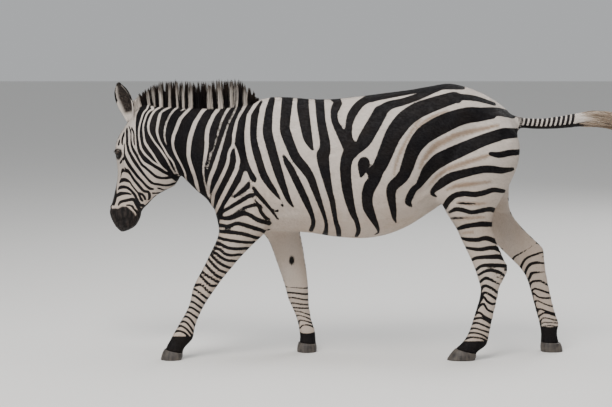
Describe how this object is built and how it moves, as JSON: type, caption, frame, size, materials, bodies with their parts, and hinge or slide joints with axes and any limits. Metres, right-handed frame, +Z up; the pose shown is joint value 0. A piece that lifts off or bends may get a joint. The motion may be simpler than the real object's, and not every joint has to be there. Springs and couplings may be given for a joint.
{
  "type": "zebra",
  "caption": "Life-size walking plains zebra as a still museum model, head low and turned aside, tail streaming back, standing on flat hoof soles.",
  "frame": {"origin": "on the ground, at the centre of the bounding box in X and Y", "axes": "+Z up, -X the way the animal walks, +Y its right side, towards which the head is turned"},
  "size_m": [2.8076, 0.5718, 1.4158],
  "materials": {
    "hide": "short striped hair, off-white and near black",
    "hair": "upright striped mane and brown-black tail hair",
    "eye": "wet gloss",
    "horn": "satin, ringed grey-black horn"
  },
  "bodies": {
    "root": {"head": "hide", "neck": "hide", "trunk": "hide", "leg_upper_fore_left": "hide", "leg_upper_fore_right": "hide", "leg_upper_hind_left": "hide", "leg_upper_hind_right": "hide", "leg_lower_fore_left": "hide", "leg_lower_fore_right": "hide", "leg_lower_hind_left": "hide", "leg_lower_hind_right": "hide", "ear_left": "hide", "ear_right": "hide", "tail": "hide", "mane": "hair", "tail_switch": "hair", "eye_left": "eye", "eye_right": "eye", "hoof_fore_left": "horn", "hoof_fore_right": "horn", "hoof_hind_left": "horn", "hoof_hind_right": "horn"}
  },
  "joints": []
}
